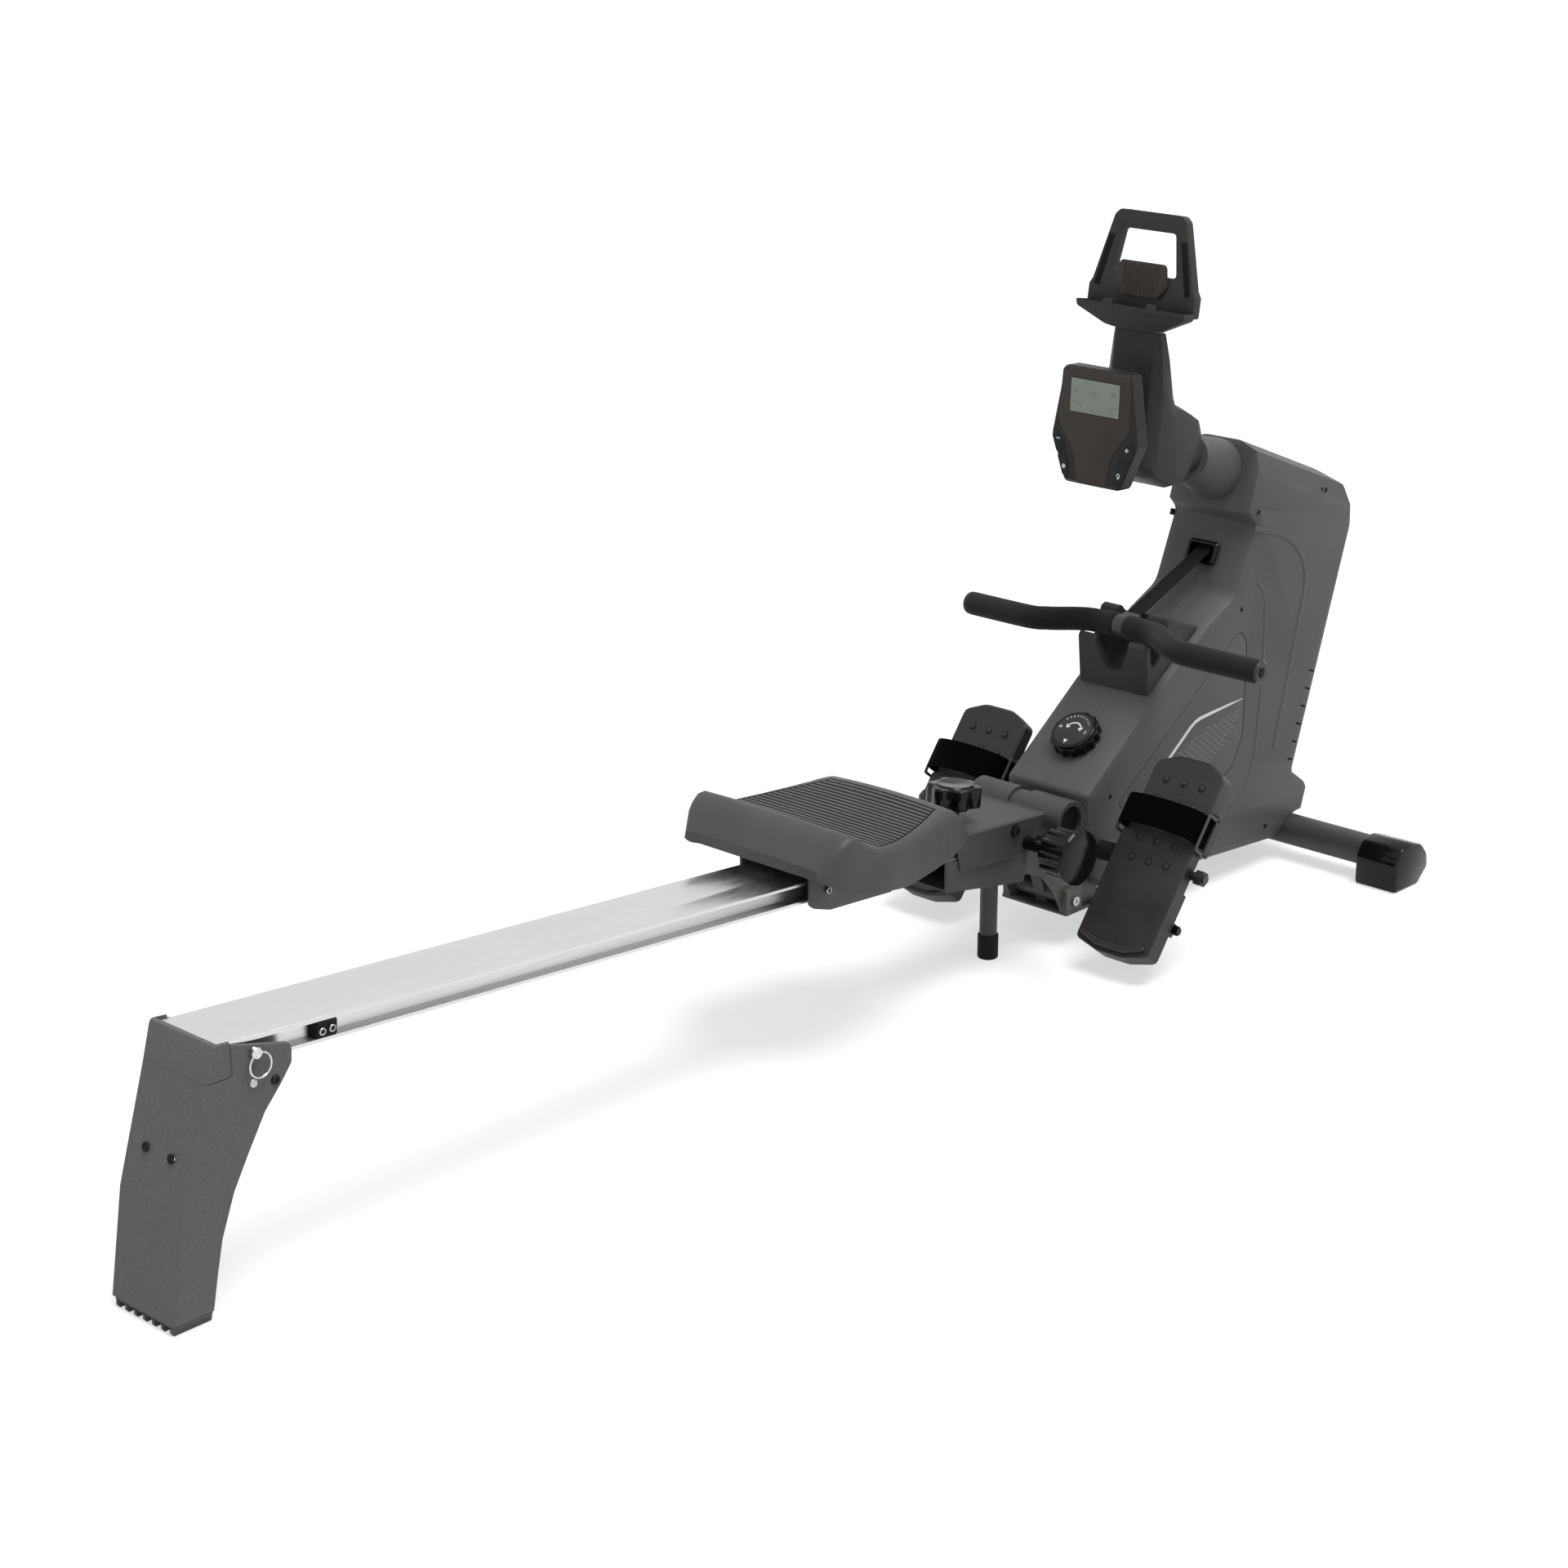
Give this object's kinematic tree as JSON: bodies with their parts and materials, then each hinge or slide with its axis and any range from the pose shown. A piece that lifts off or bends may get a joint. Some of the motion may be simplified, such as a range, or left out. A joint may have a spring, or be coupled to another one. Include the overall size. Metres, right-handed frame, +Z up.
{
  "type": "rowing machine",
  "caption": "Folding magnetic rowing machine: sliding seat on a sloping rail, rear foot, pedals with straps, belt handle, flywheel housing, console and tablet holder.",
  "frame": {"origin": "centre of the bounding box's bottom face, on the floor", "axes": "+X along the rail from the rear foot to the flywheel housing, +Y the rower's left, +Z up"},
  "size_m": [2.0434, 0.53, 0.9315],
  "materials": {
    "housing": "fine matt grain",
    "dark_plastic": "satin grain",
    "seat_plastic": "satin, slightly soft",
    "foot_plastic": "coarse grain",
    "frame_paint": "satin powder coat",
    "bracket_paint": "satin metallic grey paint",
    "rail_metal": "satin anodised",
    "steel": "plain",
    "iron": "machined",
    "rubber": "matt",
    "foam": "closed-cell foam",
    "gloss_black": "polished",
    "webbing": "woven polyamide",
    "lcd": "smooth"
  },
  "bodies": {
    "frame": {"main_frame": "frame_paint", "front_channel": "bracket_paint", "post_foot": "rubber", "cross_pin": "steel", "stabiliser_tube": "frame_paint", "stabiliser_cap_left": "foot_plastic", "stabiliser_cap_right": "foot_plastic", "housing_left": "housing", "housing_right": "housing", "belt_bezel": "gloss_black", "handle_rest": "housing", "pedal_axle": "steel", "pedal_spacer_left": "rubber", "pedal_spacer_right": "rubber", "mast_tube": "steel", "mast_shell": "dark_plastic", "magnet_yoke": "iron", "drive_belt": "rubber"},
    "wheel": {"flywheel": "iron"},
    "spool": {"belt_spool": "dark_plastic"},
    "rail_assembly": {"rail": "rail_metal", "rail_bracket": "bracket_paint", "hinge_rod": "steel", "rail_stop_left": "rubber", "rail_stop_right": "rubber", "foot_hinge_bracket": "frame_paint"},
    "clamp_knob": {"rail_clamp_knob": "gloss_black"},
    "lock_knob": {"hinge_lock_knob": "gloss_black"},
    "foot": {"rear_foot": "foot_plastic", "foot_cap": "foot_plastic", "foot_sole": "rubber"},
    "lock_pin": {"ball_lock_pin": "steel"},
    "seat": {"seat_pan": "seat_plastic", "seat_carriage": "frame_paint"},
    "roller_rl": {"roller_rear_left": "rubber"},
    "roller_rr": {"roller_rear_right": "rubber"},
    "roller_fl": {"roller_front_left": "rubber"},
    "roller_fr": {"roller_front_right": "rubber"},
    "pedal_left": {"toe_plate_left": "dark_plastic", "foot_strap_left": "webbing"},
    "pedal_right": {"toe_plate_right": "dark_plastic", "foot_strap_right": "webbing"},
    "heel_left": {"heel_plate_left": "dark_plastic"},
    "heel_right": {"heel_plate_right": "dark_plastic"},
    "button_left": {"heel_button_left": "gloss_black"},
    "button_right": {"heel_button_right": "gloss_black"},
    "handle": {"handle_bar": "steel", "grip_left": "foam", "grip_right": "foam", "belt_clamp": "gloss_black", "pull_belt": "webbing"},
    "console": {"console_body": "dark_plastic", "console_screen": "lcd"},
    "key_ul": {"key_upper_left": "gloss_black"},
    "key_ll": {"key_lower_left": "gloss_black"},
    "key_ur": {"key_upper_right": "gloss_black"},
    "key_lr": {"key_lower_right": "gloss_black"},
    "tablet_holder": {"tablet_frame": "dark_plastic", "tablet_pad": "rubber"},
    "resistance": {"resistance_knob": "gloss_black"}
  },
  "joints": [
    {"name": "rail_fold", "type": "hinge", "parent": "frame", "child": "rail_assembly", "pos_m": [0.39077, 0, 0.1856], "axis": [0, 1, 0], "range_deg": [0, 85.6]},
    {"name": "foot_fold", "type": "hinge", "parent": "rail_assembly", "child": "foot", "pos_m": [-0.87968, 0, 0.238], "axis": [0, -1, 0], "range_deg": [0, 100]},
    {"name": "lock_pin_pull", "type": "slide", "parent": "foot", "child": "lock_pin", "axis": [0, -1, 0], "range_m": [0, 0.03]},
    {"name": "seat_slide", "type": "slide", "parent": "rail_assembly", "child": "seat", "axis": [0.9971, 0, -0.0762], "range_m": [-0.7, 0.03]},
    {"name": "roller_rl_spin", "type": "hinge", "parent": "seat", "child": "roller_rl", "pos_m": [-0.05048, 0.041, 0.2123], "axis": [0, 1, 0], "range_deg": [-4500, 300]},
    {"name": "roller_rr_spin", "type": "hinge", "parent": "seat", "child": "roller_rr", "pos_m": [-0.05048, -0.041, 0.2123], "axis": [0, 1, 0], "range_deg": [-4500, 300]},
    {"name": "roller_fl_spin", "type": "hinge", "parent": "seat", "child": "roller_fl", "pos_m": [0.02729, 0.041, 0.20636], "axis": [0, 1, 0], "range_deg": [-4500, 300]},
    {"name": "roller_fr_spin", "type": "hinge", "parent": "seat", "child": "roller_fr", "pos_m": [0.02729, -0.041, 0.20636], "axis": [0, 1, 0], "range_deg": [-4500, 300]},
    {"name": "clamp_knob_turn", "type": "hinge", "parent": "rail_assembly", "child": "clamp_knob", "pos_m": [0.24578, 0, 0.24382], "axis": [0.0762, 0, 0.9971], "range_deg": [0, 720]},
    {"name": "lock_knob_turn", "type": "hinge", "parent": "rail_assembly", "child": "lock_knob", "pos_m": [0.32832, -0.11, 0.16901], "axis": [0, -1, 0], "range_deg": [0, 720]},
    {"name": "resistance_turn", "type": "hinge", "parent": "frame", "child": "resistance", "pos_m": [0.49832, 0, 0.2559], "axis": [-0.5872, 0, 0.8095], "range_deg": [-135, 135]},
    {"name": "pedal_tilt_left", "type": "hinge", "parent": "frame", "child": "pedal_left", "pos_m": [0.46332, 0.1625, 0.128], "axis": [0, 1, 0], "range_deg": [-15, 15]},
    {"name": "heel_slide_left", "type": "slide", "parent": "pedal_left", "child": "heel_left", "axis": [0.6074, 0, 0.7944], "range_m": [0, 0.02]},
    {"name": "heel_button_left", "type": "slide", "parent": "heel_left", "child": "button_left", "axis": [0, -1, 0], "range_m": [0, 0.004], "stiffness_N_per_m": 300, "springref_m": -0.002},
    {"name": "pedal_tilt_right", "type": "hinge", "parent": "frame", "child": "pedal_right", "pos_m": [0.46332, -0.1625, 0.128], "axis": [0, 1, 0], "range_deg": [-15, 15]},
    {"name": "heel_slide_right", "type": "slide", "parent": "pedal_right", "child": "heel_right", "axis": [0.6074, 0, 0.7944], "range_m": [0, 0.02]},
    {"name": "heel_button_right", "type": "slide", "parent": "heel_right", "child": "button_right", "axis": [0, 1, 0], "range_m": [0, 0.004], "stiffness_N_per_m": 300, "springref_m": -0.002},
    {"name": "handle_pull", "type": "slide", "parent": "frame", "child": "handle", "axis": [-0.9272, 0, 0.3746], "range_m": [0, 1.05], "stiffness_N_per_m": 20, "springref_m": -0.5, "deforming": ["pull_belt"]},
    {"name": "spool_spin", "type": "hinge", "parent": "frame", "child": "spool", "pos_m": [0.86032, 0, 0.45076], "axis": [0, -1, 0], "range_deg": [0, 1400]},
    {"name": "flywheel_spin", "type": "hinge", "parent": "frame", "child": "wheel", "pos_m": [0.78532, 0, 0.255], "axis": [0, 1, 0], "continuous": true},
    {"name": "console_tilt", "type": "hinge", "parent": "frame", "child": "console", "pos_m": [0.55932, 0, 0.66], "axis": [0, 1, 0], "range_deg": [-10, 10]},
    {"name": "key_ul_press", "type": "slide", "parent": "console", "child": "key_ul", "axis": [0.9992, 0, -0.0401], "range_m": [0, 0.0015], "stiffness_N_per_m": 400, "springref_m": -0.001},
    {"name": "key_ll_press", "type": "slide", "parent": "console", "child": "key_ll", "axis": [0.9992, 0, -0.0401], "range_m": [0, 0.0015], "stiffness_N_per_m": 400, "springref_m": -0.001},
    {"name": "key_ur_press", "type": "slide", "parent": "console", "child": "key_ur", "axis": [0.9992, 0, -0.0401], "range_m": [0, 0.0015], "stiffness_N_per_m": 400, "springref_m": -0.001},
    {"name": "key_lr_press", "type": "slide", "parent": "console", "child": "key_lr", "axis": [0.9992, 0, -0.0401], "range_m": [0, 0.0015], "stiffness_N_per_m": 400, "springref_m": -0.001},
    {"name": "tablet_tilt", "type": "hinge", "parent": "frame", "child": "tablet_holder", "pos_m": [0.59932, 0, 0.792], "axis": [0, 1, 0], "range_deg": [-5, 20]}
  ],
  "couplings": [
    {"joint": "roller_rl_spin", "follows": "seat_slide", "rad_per_m": 109.89},
    {"joint": "roller_rr_spin", "follows": "seat_slide", "rad_per_m": 109.89},
    {"joint": "roller_fl_spin", "follows": "seat_slide", "rad_per_m": 109.89},
    {"joint": "roller_fr_spin", "follows": "seat_slide", "rad_per_m": 109.89},
    {"joint": "spool_spin", "follows": "handle_pull", "rad_per_m": 22.573}
  ]
}
